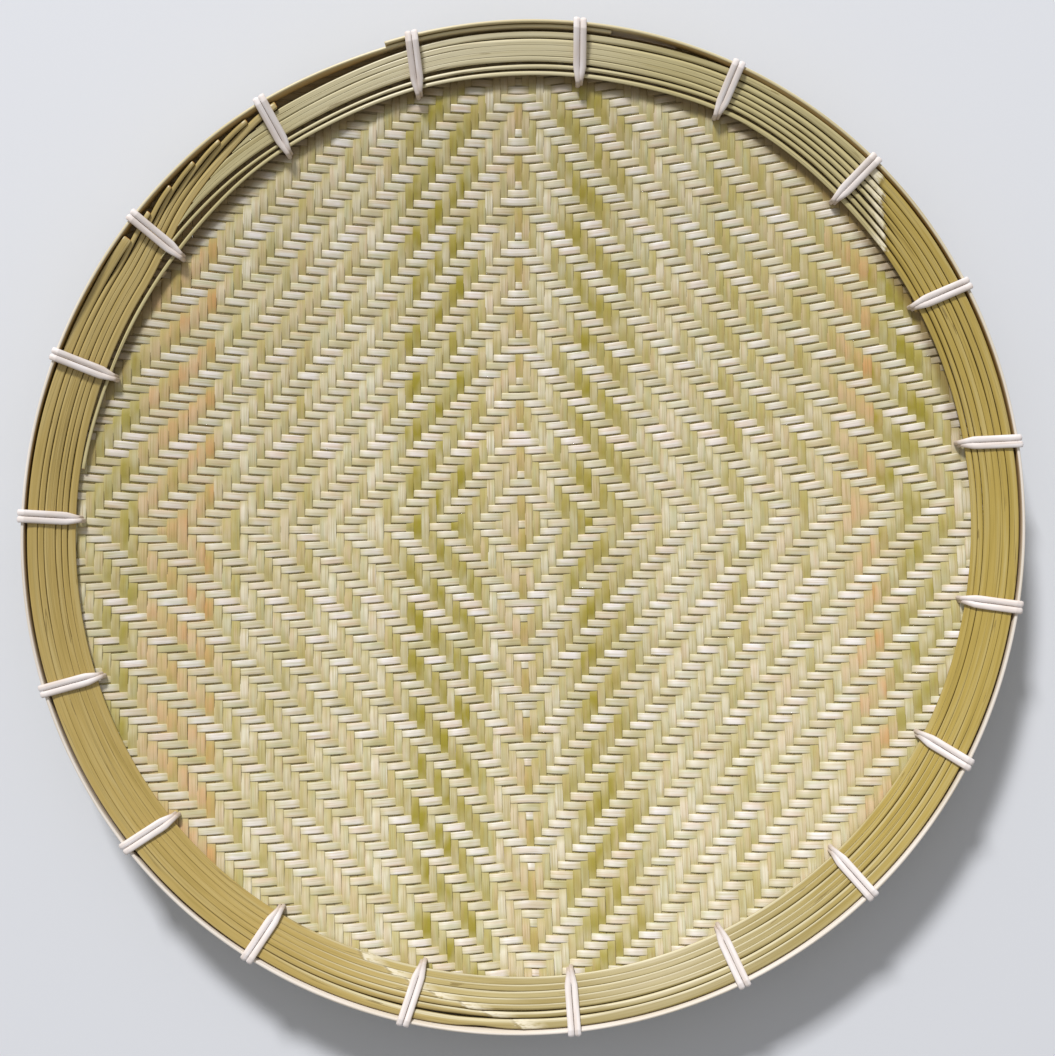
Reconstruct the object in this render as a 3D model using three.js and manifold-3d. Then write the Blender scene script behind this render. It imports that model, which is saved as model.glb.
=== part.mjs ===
// Shallow round bamboo tray: a dished twill-woven panel inside a lapped hoop,
// seven strips split from one bamboo lath that run side by side once round on its edge,
// and rattan ties, each wound twice round the rim and through one hole in the panel.
// Millimetres, +Z up, the panel's flat middle at z = 0. Angles are in degrees, turning
// counter-clockwise from +X as seen from above, and go on past 360 where a strip laps itself.
import * as THREE from 'three';
import { mergeVertices } from 'three/addons/utils/BufferGeometryUtils.js';
import Module from 'manifold-3d';

const { smoothstep, lerp, clamp, degToRad, euclideanModulo } = THREE.MathUtils;

// Outline: outside of the hoop, bent by hand a little out of round
const hoopRadius = 200;
const ovalRise = 1.8;
const ovalPeak = 65;
const ovalLobes = 2;
const threeLobeRise = 0.64;
const threeLobePeak = -40;
const threeLobes = 3;
const fourLobeRise = 0.38;
const fourLobePeak = -44;
const fourLobes = 4;

// Gap left between pieces that touch
const seatGap = 0.3;

// Hoop: one bamboo lath on edge, its inner end lapped behind its outer end
const hoopThickness = 1.2;
const hoopBelowEdge = 9.7;
const hoopOverStarts = 0.8;
const hoopEdgeBevel = 0.35;
const lapStart = 80;
const lapEnd = 106;
const lapLead = 18;
const lapRun = 25;
const lapStepDown = 1.5;

// Woven panel: flat middle, a long gentle bend, then a straight sloping edge below the strips
const panelThickness = 1.4;
const edgeSlope = 16;
const edgeBand = 28;
const bendBand = 130;

// Rim strips, counted from the innermost: parts of one lath, whose width changes along it and
// is given by angle, each with its share of that width where it starts and where it ends
const stripCount = 7;
const rimWidth = 18;
const rimWidthShares = [
  [121, 0.94], [190, 1], [230, 0.99], [262, 1.07], [290, 1.06], [340, 0.98], [400, 0.99],
  [425, 0.88], [450, 0.84], [475, 0.71],
];
const startShares = [0.185, 0.13, 0.12, 0.11, 0.115, 0.125, 0.215];
const endShares = [0.12, 0.12, 0.15, 0.14, 0.14, 0.16, 0.17];
const stripThickness = 2.0;
const stripBevel = 0.35;
const firstStart = 120.3;
const startStep = 3.9;
const startLift = 2.0;
const startLiftRun = 9;
const firstTailRun = 52;
const tailEndGap = 0.7;
const tailOpening = 1.1;
const tailOpeningAngles = [[38, 58], [60, 105]];
const tailClosingRun = 14;
const tailRoomFrom = 96;

// Ties: two turns of flat rattan each, and their holes
const strandHalfWidth = 1.15;
const strandHalfWidthAtHole = 0.7;
const strandHalfThickness = 0.7;
const strandSpacing = 2.95;
const strandSpacingAtHole = 1.95;
const pinchReach = 9;
const holeStep = 0.2;
const startTuckRise = 1.2;
const endTuckRise = 4.6;
const tuckReach = 7;
const strandSides = 6;
const tieAngles = [
  103.1, 83.2, 65.0, 46.3, 29.3, 10.6, -9.1, -27.6, -46.2, -64.0,
  -84.1, -103.6, -122.6, -141.1, -161.1, 178.6, 159.6, 141.4, 121.8,
];

// Steps along the long curves
const hoopStep = 5;
const panelSegments = 72;
const stripStep = 6;
const crossingStep = 0.05;
const holeCurveSegments = 4;
const cutOverrun = 4;

const fullTurn = 360;
const slope = Math.tan(degToRad(edgeSlope));
const slopeSin = Math.sin(degToRad(edgeSlope));
const slopeCos = Math.cos(degToRad(edgeSlope));

// The hoop reaches from below the panel's edge to just over the strips' lifted starts
const hoopFoot = panelUnder(0) - hoopBelowEdge;
const hoopWidth = hoopBelowEdge + panelThickness + seatGap + startLift + stripThickness
  + hoopOverStarts;
const hoopTop = hoopFoot + hoopWidth;

// Outside of the hoop at an angle
function outline(angle) {
  const lobe = (rise, lobes, peak) => rise * Math.cos(degToRad(lobes * (angle - peak)));
  return hoopRadius
    + lobe(ovalRise, ovalLobes, ovalPeak)
    + lobe(threeLobeRise, threeLobes, threeLobePeak)
    + lobe(fourLobeRise, fourLobes, fourLobePeak);
}

// Room that the hoop's inner layer takes from what lies inside it
function lapRoom(angle) {
  const place = euclideanModulo(angle, fullTurn);
  const rise = smoothstep(place, lapStart - lapLead, lapStart);
  const fall = 1 - smoothstep(place, lapEnd, lapEnd + lapRun);
  return (hoopThickness + seatGap) * rise * fall;
}

// Inside of the hoop, clear of it by the seat gap
function insideHoop(angle) {
  return outline(angle) - hoopThickness - lapRoom(angle) - seatGap;
}

// Height of the panel's underside, by the distance in from the outline
function panelUnder(inset) {
  if (inset >= edgeBand + bendBand) return 0;
  if (inset >= edgeBand) return slope * (edgeBand + bendBand - inset) ** 2 / (2 * bendBand);
  return slope * bendBand / 2 + slope * (edgeBand - inset);
}

function panelOver(inset) {
  const bendShare = clamp((edgeBand + bendBand - inset) / bendBand, 0, 1);
  return panelUnder(inset) + panelThickness * Math.hypot(1, slope * bendShare);
}

function spot(radius, angle, height) {
  const turn = degToRad(angle);
  return new THREE.Vector3(radius * Math.cos(turn), radius * Math.sin(turn), height);
}

// Skin over rings of points that all have the same count, with flat ends
function loft(rings) {
  const sides = rings[0].length;
  const faces = [];
  for (let ring = 0; ring < rings.length - 1; ring += 1) {
    for (let side = 0; side < sides; side += 1) {
      const next = (side + 1) % sides;
      const near = ring * sides;
      const far = near + sides;
      faces.push([near + side, far + side, far + next]);
      faces.push([near + side, far + next, near + next]);
    }
  }
  const last = (rings.length - 1) * sides;
  for (let side = 1; side < sides - 1; side += 1) {
    faces.push([0, side, side + 1]);
    faces.push([last, last + side + 1, last + side]);
  }
  const points = rings.flat();
  let volume = 0;
  for (const [a, b, c] of faces) {
    volume += points[a].dot(new THREE.Vector3().crossVectors(points[b], points[c]));
  }
  if (volume < 0) faces.forEach((face) => face.reverse());
  const geometry = new THREE.BufferGeometry().setFromPoints(points);
  geometry.setIndex(faces.flat());
  return geometry;
}

// Angles from start to end on a grid, so that neighbours turn their corners together
function gridAngles(start, end, step, origin = 0) {
  const inner = [];
  const least = step / 4;
  for (let count = Math.ceil((start - origin) / step); origin + count * step < end; count += 1) {
    const angle = origin + count * step;
    if (angle - start > least && end - angle > least) inner.push(angle);
  }
  return [start, ...inner, end];
}

// Hoop

function hoopRing(angle) {
  const lapping = angle < lapEnd + lapRun;
  const outside = outline(angle) - (lapping ? lapRoom(angle) : 0);
  const inside = outside - hoopThickness;
  const shaved = 1 - smoothstep(angle, lapEnd, lapEnd + lapRun);
  const top = hoopTop - lapStepDown * shaved;
  return [
    spot(inside, angle, hoopFoot),
    spot(outside, angle, hoopFoot),
    spot(outside, angle, top - hoopEdgeBevel),
    spot(outside - hoopEdgeBevel, angle, top),
    spot(inside + hoopEdgeBevel, angle, top),
    spot(inside, angle, top - hoopEdgeBevel),
  ];
}

const hoopGeometry = loft(gridAngles(lapStart, lapEnd + fullTurn, hoopStep).map(hoopRing));

// Rim strips

const stripStarts = Array.from({ length: stripCount }, (_, strip) => firstStart + strip * startStep);
const lastStart = stripStarts[stripCount - 1];

// Width of the whole lath at an angle
function rimWidthAt(angle) {
  const after = rimWidthShares.findIndex(([place]) => place > angle);
  if (after < 0) return rimWidth * rimWidthShares[rimWidthShares.length - 1][1];
  const [to, toShare] = rimWidthShares[after];
  const [from, fromShare] = rimWidthShares[Math.max(after - 1, 0)];
  return rimWidth * lerp(fromShare, toShare, after > 0 ? smoothstep(angle, from, to) : 1);
}

function pitchAt(strip, angle) {
  const travelled = clamp((angle - firstStart) / fullTurn, 0, 1);
  return rimWidthAt(angle) * lerp(startShares[strip], endShares[strip], travelled);
}

// How far a strip's outer side lies in from the hoop's clear inside: each strip that starts
// further out moves it in by that strip's pitch, and the far ends pass inside the starts
function insetOf(strip, angle) {
  const back = angle - fullTurn;
  let inset = pitchAt(0, firstStart) * smoothstep(back, tailRoomFrom, firstStart);
  for (let outer = strip + 1; outer < stripCount; outer += 1) {
    inset += pitchAt(outer, angle) * clamp((angle - stripStarts[outer]) / startStep + 1, 0, 1);
  }
  tailOpeningAngles.forEach(([from, to], pair) => {
    if (strip <= pair) inset += tailOpening * smoothstep(back, from, to);
  });
  if (strip > 0 || back < firstStart) return inset;
  return lerp(inset, besideFirst(Math.max(back, lastStart)), smoothstep(back, firstStart, lastStart));
}

// The innermost strip's far end comes to lie along its own start and closes up to it
function besideFirst(angle) {
  const tailEnd = firstStart + firstTailRun;
  const closing = smoothstep(angle, tailEnd - tailClosingRun, tailEnd);
  return insetOf(0, angle) + pitchAt(0, angle) + tailOpening * (1 - closing);
}

// A far end stops where the innermost strip, moving in from its start, comes to cross it
function stripEnd(strip) {
  if (strip === 0) return firstStart + fullTurn + firstTailRun;
  const crossed = (angle) => (
    insetOf(0, angle + tailEndGap) + pitchAt(0, angle + tailEndGap) >= insetOf(strip, angle + fullTurn)
  );
  let angle = firstStart - tailEndGap;
  while (!crossed(angle)) angle += crossingStep;
  return angle + fullTurn;
}

const stripEnds = stripStarts.map((_, strip) => stripEnd(strip));

// Section of a strip: outer foot, inner foot, inner top, outer top, as radius and height
function stripSection(strip, angle) {
  const outerFoot = insideHoop(angle) - insetOf(strip, angle);
  const width = pitchAt(strip, angle) / slopeCos - seatGap;
  const lift = startLift * (1 - smoothstep(angle, stripStarts[strip], stripStarts[strip] + startLiftRun));
  const foot = panelOver(outline(angle) - outerFoot) + seatGap + lift;
  const along = (across, up) => ({
    radius: outerFoot - across * slopeCos - up * slopeSin,
    height: foot - across * slopeSin + up * slopeCos,
  });
  return {
    innerTop: along(width, stripThickness),
    outerTop: along(0, stripThickness),
    ring: [
      along(0, 0),
      along(width, 0),
      along(width, stripThickness - stripBevel),
      along(width - stripBevel, stripThickness),
      along(stripBevel, stripThickness),
      along(0, stripThickness - stripBevel),
    ],
  };
}

function stripGeometry(strip) {
  const settled = firstStart + 2 * stripCount * startStep;
  const tailStart = firstStart + fullTurn - stripCount * startStep;
  const early = gridAngles(stripStarts[strip], settled, startStep / 2, firstStart);
  const middle = gridAngles(early.pop(), tailStart, stripStep);
  const late = gridAngles(middle.pop(), stripEnds[strip], startStep / 2, firstStart + fullTurn);
  return loft([...early, ...middle, ...late].map((angle) => (
    stripSection(strip, angle).ring.map((corner) => spot(corner.radius, angle, corner.height))
  )));
}

// Upper inner corner of the strip that lies furthest in at an angle
function innermostCorner(angle) {
  const place = euclideanModulo(angle, fullTurn);
  let corner = null;
  for (let strip = 0; strip < stripCount; strip += 1) {
    for (const turn of [place, place + fullTurn]) {
      if (turn < stripStarts[strip] || turn > stripEnds[strip]) continue;
      const found = stripSection(strip, turn).innerTop;
      if (!corner || found.radius < corner.radius) corner = found;
    }
  }
  return corner;
}

// Ties

function holeRadius(angle) {
  return innermostCorner(angle).radius - seatGap - strandHalfThickness - holeStep;
}

function halfWidthAt(radius, hole) {
  return lerp(strandHalfWidthAtHole, strandHalfWidth, smoothstep(radius, hole, hole + pinchReach));
}

// One turn round the rim's section, from below the hole to below the hoop
function tieTurn(angle) {
  const outside = outline(angle);
  const inside = insideHoop(angle) + seatGap;
  const corner = innermostCorner(angle);
  const hole = holeRadius(angle);
  const reach = strandHalfThickness + seatGap;
  const below = panelUnder(outside - hole) - reach;
  const rise = Math.atan2(hoopTop - corner.height, inside - corner.radius);
  const about = (radius, height, distance, direction) => ({
    radius: radius + distance * Math.cos(direction),
    height: height + distance * Math.sin(direction),
  });
  const straightUp = Math.PI / 2;
  const straightIn = Math.PI;
  return [
    { radius: hole + strandHalfThickness, height: below },
    { radius: hole, height: below + strandHalfThickness },
    about(corner.radius, corner.height, reach, straightIn),
    about(corner.radius, corner.height, reach, (straightIn + straightUp + rise) / 2),
    about(corner.radius, corner.height, reach, straightUp + rise),
    about(inside, hoopTop, reach, straightUp + rise),
    about(inside, hoopTop, reach, straightUp),
    about(outside, hoopTop, reach, straightUp),
    about(outside, hoopTop, reach, straightUp / 2),
    about(outside, hoopTop, reach, 0),
    about(outside, hoopFoot, reach, 0),
    about(outside, hoopFoot, reach, -straightUp / 2),
    about(outside, hoopFoot, reach, -straightUp),
    about(inside, hoopFoot, reach, -straightUp),
  ];
}

// Both turns in one run of points, with the strand's half width at each
function tiePath(angle) {
  const turn = tieTurn(angle);
  const hole = holeRadius(angle);
  const last = turn[turn.length - 1];
  const start = {
    radius: hole + strandHalfThickness + tuckReach,
    height: turn[0].height + startTuckRise,
  };
  const end = { radius: last.radius - tuckReach, height: last.height + endTuckRise };
  const place = (point, side) => {
    const near = smoothstep(point.radius, hole, hole + pinchReach);
    const spacing = lerp(strandSpacingAtHole, strandSpacing, near);
    return {
      radius: point.radius,
      across: side * spacing / 2,
      height: point.height,
      halfWidth: halfWidthAt(point.radius, hole),
    };
  };
  return [
    place(start, -1),
    ...turn.map((point) => place(point, -1)),
    ...turn.map((point) => place(point, 1)),
    place(end, 1),
  ];
}

// Least clear distance between stretches of a path that don't follow each other
function leastGapToItself(path) {
  const ends = path.map((point) => new THREE.Vector3(point.radius, point.across, point.height));
  const samples = [];
  const shares = [0, 0.25, 0.5, 0.75];
  for (let index = 0; index < ends.length - 1; index += 1) {
    for (const share of shares) {
      samples.push({
        at: ends[index].clone().lerp(ends[index + 1], share),
        halfWidth: lerp(path[index].halfWidth, path[index + 1].halfWidth, share),
        index,
      });
    }
  }
  const turnPoints = (path.length - 2) / 2;
  let least = Infinity;
  for (const one of samples) {
    for (const other of samples) {
      if (other.index - one.index < turnPoints / 2) continue;
      least = Math.min(least, one.at.distanceTo(other.at) - one.halfWidth - other.halfWidth);
    }
  }
  return least;
}

function tieGeometry(angle) {
  const path = tiePath(angle);
  const centres = path.map((point) => new THREE.Vector3(point.radius, point.across, point.height));
  const sideways = new THREE.Vector3(0, 1, 0);
  const rings = path.map((point, index) => {
    const before = centres[Math.max(index - 1, 0)];
    const after = centres[Math.min(index + 1, centres.length - 1)];
    const ahead = after.clone().sub(before).normalize();
    const outward = new THREE.Vector3().crossVectors(ahead, sideways).normalize();
    const across = new THREE.Vector3().crossVectors(outward, ahead).normalize();
    return Array.from({ length: strandSides }, (_, side) => {
      const turn = 2 * Math.PI * (side + 0.5) / strandSides;
      return centres[index].clone()
        .addScaledVector(outward, strandHalfThickness * Math.cos(turn))
        .addScaledVector(across, point.halfWidth * Math.sin(turn));
    });
  });
  return loft(rings).rotateZ(degToRad(angle));
}

// Woven panel

function holeShape() {
  const halfWidth = strandHalfThickness + seatGap + holeStep;
  const halfLength = strandSpacingAtHole / 2;
  const shape = new THREE.Shape();
  shape.absarc(0, halfLength, halfWidth, 0, Math.PI, false);
  shape.absarc(0, -halfLength, halfWidth, Math.PI, 2 * Math.PI, false);
  return shape;
}

function holeCutter(angle) {
  const depth = 2 * cutOverrun + hoopTop;
  const cutter = new THREE.ExtrudeGeometry(holeShape(), {
    depth,
    bevelEnabled: false,
    curveSegments: holeCurveSegments,
  });
  return cutter.translate(holeRadius(angle), 0, -cutOverrun).rotateZ(degToRad(angle));
}

function panelBlank() {
  const bendRows = 8;
  const insets = Array.from({ length: bendRows + 1 }, (_, row) => (
    edgeBand + bendBand * (1 - row / bendRows)
  ));
  // The profile runs out along the underside, over the edge and back along the top
  const rows = [
    { centre: true, height: 0 },
    ...insets.map((inset) => ({ inset, over: false })),
    { edge: true, over: false },
    { edge: true, over: true },
    ...insets.toReversed().map((inset) => ({ inset, over: true })),
    { centre: true, height: panelThickness },
  ];
  const profile = rows.map((row) => (
    new THREE.Vector2(row.centre ? 0 : hoopRadius - (row.inset ?? 0), row.over ? 1 : 0)
  ));
  const geometry = new THREE.LatheGeometry(profile, panelSegments);
  const position = geometry.attributes.position;
  for (let index = 0; index < position.count; index += 1) {
    const row = rows[index % rows.length];
    const angle = fullTurn * Math.floor(index / rows.length) / panelSegments;
    if (row.centre) {
      position.setXYZ(index, 0, 0, row.height);
      continue;
    }
    const outside = outline(angle);
    const inset = row.edge ? outside - insideHoop(angle) : row.inset;
    const height = row.over ? panelOver(inset) : panelUnder(inset);
    position.setXYZ(index, ...spot(outside - inset, angle, height).toArray());
  }
  return geometry;
}

const wasm = await Module();
wasm.setup();

function toSolid(geometry) {
  const bare = new THREE.BufferGeometry();
  bare.setAttribute('position', geometry.attributes.position.clone());
  if (geometry.index) bare.setIndex(geometry.index.clone());
  const merged = mergeVertices(bare);
  return new wasm.Manifold(new wasm.Mesh({
    numProp: 3,
    vertProperties: new Float32Array(merged.attributes.position.array),
    triVerts: new Uint32Array(merged.index.array),
  }));
}

function toGeometry(solid) {
  const mesh = solid.getMesh();
  const geometry = new THREE.BufferGeometry();
  geometry.setAttribute('position', new THREE.BufferAttribute(mesh.vertProperties, 3));
  geometry.setIndex(new THREE.BufferAttribute(mesh.triVerts, 1));
  return geometry;
}

const panelGeometry = toGeometry(tieAngles.reduce(
  (solid, angle) => solid.subtract(toSolid(holeCutter(angle))),
  toSolid(panelBlank()),
));

// Assembly

const panelBamboo = new THREE.MeshStandardMaterial({ color: 0xd9cc9e, roughness: 0.55, metalness: 0 });
const hoopBamboo = new THREE.MeshStandardMaterial({ color: 0xd8c78e, roughness: 0.5, metalness: 0 });
const stripBamboo = new THREE.MeshStandardMaterial({ color: 0xb3a35c, roughness: 0.42, metalness: 0 });
const paleRattan = new THREE.MeshStandardMaterial({ color: 0xe6d7cd, roughness: 0.6, metalness: 0 });

const tray = new THREE.Group();

function addPiece(name, geometry, material) {
  geometry.computeVertexNormals();
  const piece = new THREE.Mesh(geometry, material);
  piece.name = name;
  tray.add(piece);
}

addPiece('woven_panel', panelGeometry, panelBamboo);
addPiece('outer_hoop', hoopGeometry, hoopBamboo);
for (let strip = 0; strip < stripCount; strip += 1) {
  addPiece(`rim_strip_${strip + 1}`, stripGeometry(strip), stripBamboo);
}
tieAngles.forEach((angle, index) => {
  const number = String(index + 1).padStart(2, '0');
  addPiece(`rattan_tie_${number}`, tieGeometry(angle), paleRattan);
});

const leastGap = Math.min(...tieAngles.map((angle) => leastGapToItself(tiePath(angle))));
console.log(`least gap of a tie to itself: ${leastGap.toFixed(2)} mm`);

export default tray;
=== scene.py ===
import math
import random

import bmesh
import bpy
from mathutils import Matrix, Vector, noise


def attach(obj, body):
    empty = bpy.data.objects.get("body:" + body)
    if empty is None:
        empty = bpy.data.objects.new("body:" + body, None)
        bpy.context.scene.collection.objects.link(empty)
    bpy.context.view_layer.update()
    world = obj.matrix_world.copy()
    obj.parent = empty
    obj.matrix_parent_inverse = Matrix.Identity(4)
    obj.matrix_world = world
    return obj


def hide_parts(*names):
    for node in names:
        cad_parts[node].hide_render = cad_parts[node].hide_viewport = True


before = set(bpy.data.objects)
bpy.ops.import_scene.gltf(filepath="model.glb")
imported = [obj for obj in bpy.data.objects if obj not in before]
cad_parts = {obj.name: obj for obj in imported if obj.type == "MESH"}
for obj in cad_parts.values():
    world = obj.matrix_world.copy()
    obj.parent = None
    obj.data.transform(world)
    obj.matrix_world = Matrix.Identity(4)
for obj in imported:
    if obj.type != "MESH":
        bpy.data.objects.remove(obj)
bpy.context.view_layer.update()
scene = bpy.context.scene

# Shallow round bamboo tray, built in the way the real one is: a twill floor of split bamboo,
# seven strips split from one lath laid round on its edge, a lapped hoop and cane ties.
# Sizes are in millimetres and degrees, and angles turn counter-clockwise from +X.
metresPerMm = 0.001


def evenly(value, low, high):
    return min(max((value - low) / (high - low), 0), 1)


def smooth(value, low, high):
    # 0 at low to 1 at high, eased at both, also where high is the lesser
    share = evenly(value, low, high)
    return share * share * (3 - 2 * share)


def blendOf(low, high, share):
    return low + (high - low) * share


def blendAlong(table, angle, ease=smooth):
    # value of a table of angles and values, from row to row
    for before, after in zip(table, table[1:]):
        if angle < after[0]:
            return blendOf(before[1], after[1], ease(angle, before[0], after[0]))
    return table[-1][1]


def waver(setting, along, number=0):
    # Slow hand-made unevenness. A setting is how far it goes, the lane of the noise that it
    # follows, so that no two things waver alike, and the length of a swing.
    most, lane, length = setting
    lane += number
    return most * noise.noise(Vector((along / length, lane * 7.31, lane * 1.77)))


def polar(radius, angle, height):
    turn = math.radians(angle)
    return Vector((radius * math.cos(turn), radius * math.sin(turn), height)) * metresPerMm


def newLayers(bm, *names):
    # run: millimetres along the fibre and across it, and number of the piece
    # tint, the layer of painted shade and past: what the colours follow, named where a material reads them
    return [bm.verts.layers.float_vector.new(name) for name in names]


def bentSheet(bm, steps, sides, place):
    made = bmesh.ops.create_grid(bm, x_segments=steps, y_segments=sides, size=1)["verts"]
    for vert in made:
        step = round((vert.co.x + 1) * steps / 2)
        side = round((vert.co.y + 1) * sides / 2)
        place(vert, step, side)
    return made


def bentRod(bm, steps, sides, place):
    # a sheet rolled into a rod, its seam joined and its ends closed
    made = bentSheet(bm, steps, sides, lambda vert, step, side: place(vert, step, side % sides))
    bmesh.ops.remove_doubles(bm, verts=made, dist=0.000001)
    ends = [edge for edge in bm.edges if edge.is_boundary]
    bmesh.ops.holes_fill(bm, edges=ends, sides=sides)


def addObject(name, data):
    made = bpy.data.objects.new(name, data)
    scene.collection.objects.link(made)
    return made


def addMesh(bm, name, material):
    mesh = bpy.data.meshes.new(name)
    bm.to_mesh(mesh)
    bm.free()
    mesh.materials.append(material)
    return addObject(name, mesh)


def finishPiece(bm, name, material, nodes, closed=True):
    if closed:
        bmesh.ops.recalc_face_normals(bm, faces=bm.faces)
    piece = addMesh(bm, name, material)
    piece.data.shade_smooth()
    for face in piece.data.polygons:
        if len(face.vertices) > 4:  # a cut end
            face.use_smooth = False
    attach(piece, "root")
    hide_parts(*nodes)
    return piece


def linear(hexColour):
    # the number that Blender works with, of an sRGB colour
    parts = [int(hexColour[place:place + 2], 16) / 255 for place in (1, 3, 5)]
    return (*(part / 12.92 if part <= 0.04045 else ((part + 0.055) / 1.055) ** 2.4 for part in parts), 1.0)


def addNode(tree, kind, links=None, **settings):
    # links gives each input a socket, a value or a hex colour
    node = tree.nodes.new(kind)
    for name, value in settings.items():
        setattr(node, name, value)
    for socket, value in (links or {}).items():
        if isinstance(value, bpy.types.NodeSocket):
            tree.links.new(value, node.inputs[socket])
        else:
            node.inputs[socket].default_value = linear(value) if isinstance(value, str) else value
    return node


def startMaterial(name):
    material = bpy.data.materials.new(name)
    material.use_nodes = True
    return material, material.node_tree, material.node_tree.nodes["Principled BSDF"]


def readLayer(tree, name):
    # the three numbers that a layer of the mesh holds at each point
    layer = addNode(tree, "ShaderNodeAttribute", attribute_name=name)
    return addNode(tree, "ShaderNodeSeparateXYZ", {0: layer.outputs["Vector"]}).outputs


def fibreNoise(tree, length, width, detail=3.0):
    # noise drawn out along the fibre, in spots of so many millimetres, and other in each piece
    run = addNode(tree, "ShaderNodeAttribute", attribute_name="run").outputs["Vector"]
    scaled = addNode(tree, "ShaderNodeVectorMath", {0: run, 1: (1 / length, 1 / width, 5.37)},
                     operation="MULTIPLY")
    return addNode(tree, "ShaderNodeTexNoise", {
        "Vector": scaled.outputs[0], "Scale": 1.0, "Detail": detail, "Roughness": 0.6}).outputs[0]


def paintOver(tree, colour, *coats):
    # Lays colours one over the other. A coat is its colour and what it shows by: sockets, or a
    # socket with two values of it and how strong the coat is at each, all multiplied.
    for tone, *parts in coats:
        share = None
        for part in parts:
            if isinstance(part, tuple):
                part = addNode(tree, "ShaderNodeMapRange", dict(enumerate(part))).outputs[0]
            if share is not None:
                part = addNode(tree, "ShaderNodeMath", {0: share, 1: part}, operation="MULTIPLY").outputs[0]
            share = part
        colour = addNode(tree, "ShaderNodeMix", {0: share, 6: colour, 7: tone}, data_type="RGBA").outputs[2]
    return colour


def finishMaterial(tree, shader, colour, rough, relief):
    # rough: socket, two values of it and the roughness at each; relief: socket, strength, millimetres
    rough = addNode(tree, "ShaderNodeMapRange", dict(enumerate(rough)))
    fibres, strength, depth = relief
    bump = addNode(tree, "ShaderNodeBump", {
        "Strength": strength, "Distance": depth * metresPerMm, "Height": fibres})
    tree.links.new(colour, shader.inputs["Base Color"])
    tree.links.new(rough.outputs[0], shader.inputs["Roughness"])
    tree.links.new(bump.outputs[0], shader.inputs["Normal"])


def bambooSheen(tree, shader, direction, amount=0.85):
    # straight fibres spread their gloss sideways: bright where light falls across them
    shader.inputs["IOR"].default_value = 1.55
    shader.inputs["Anisotropic"].default_value = amount
    turned = addNode(tree, "ShaderNodeVectorTransform", {0: direction}, vector_type="VECTOR",
                     convert_from="OBJECT", convert_to="WORLD")
    tree.links.new(turned.outputs[0], shader.inputs["Tangent"])


def outwardFromMiddle(tree):
    spot = addNode(tree, "ShaderNodeTexCoord").outputs["Object"]
    return addNode(tree, "ShaderNodeVectorMath", {0: spot, 1: (1, 1, 0)}, operation="MULTIPLY").outputs[0]


# outline and section of the whole tray, the same as in the solids
tray = {
    "hoopRadius": 200,
    "lobes": ((1.8, 2, 65), (0.64, 3, -40), (0.38, 4, -44)),  # rise, number, angle of the peak
    "seatGap": 0.3,  # between pieces that touch
    "floorThickness": 1.4,
    "edgeSlope": 16,  # degrees
    "edgeBand": 28,  # how wide the edge is that rises straight
    "bendBand": 130,  # how wide the floor bends between that and its flat middle
}
slope = math.tan(math.radians(tray["edgeSlope"]))
slopeSin = math.sin(math.radians(tray["edgeSlope"]))
slopeCos = math.cos(math.radians(tray["edgeSlope"]))


def outline(angle):
    return tray["hoopRadius"] + sum(
        rise * math.cos(math.radians(lobes * (angle - peak))) for rise, lobes, peak in tray["lobes"])


def floorUnder(inset):
    band, bend = tray["edgeBand"], tray["bendBand"]
    if inset >= band + bend:
        return 0.0
    if inset >= band:
        return slope * (band + bend - inset) ** 2 / (2 * bend)
    return slope * bend / 2 + slope * (band - inset)


def bendStretch(inset):
    return math.hypot(1, slope * evenly(inset, tray["edgeBand"] + tray["bendBand"], tray["edgeBand"]))


def floorOver(inset):
    return floorUnder(inset) + tray["floorThickness"] * bendStretch(inset)


hoop = {
    "thickness": 1.2,
    "width": 16.2,
    "belowEdge": 9.7,  # how far it reaches below the floor's edge
    "lapStart": 80,
    "lapEnd": 106,
    "lapLead": 18,  # degrees in which the inner layer moves in before the lap
    "lapRun": 25,  # degrees in which it moves out again
    "lapStepDown": 1.5,  # how much lower its top is
    "turnStep": 1.0,
    "endEase": 0.12,  # degrees of the eased corner at each cut end
    "endThinning": 0.25,  # of the section there
    "topWaver": (0.16, 3, 45),
    "footWaver": (0.16, 5, 60),
    "thicknessWaver": (0.08, 8, 30),
    # how far the inner face swells in below the top edge, by angle, of the thickness
    "swell": ((80, 0.0), (104, 0.0), (112, 0.8), (150, 0.0), (225, 0.0), (250, 0.8), (308, 0.8),
              (335, 0.1), (395, 0.1), (420, 0.8), (436, 0.0)),
    "nearSpan": (0.2, -0.4),  # where the near side's painted light comes in, 1 far to -1 near: the top of the inner face, turned to the lamp there, is painted pale
    "farSpan": (0.1, 0.9),  # where the far side's yellowing comes in
    "lapPale": 0.7,  # how much of that paleness the lap shows
    "lapPaleAngles": ((110, 104), (432, 440)),  # where that comes in, before and past it
    "skin": "#C4B676",
    "edge": "#F0E7DE",
    "farEdge": "#D8CBA2",
    "pith": "#AD8A4C",
    "patch": "#B9A25E",
    "streak": "#A0854C",
}
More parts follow.
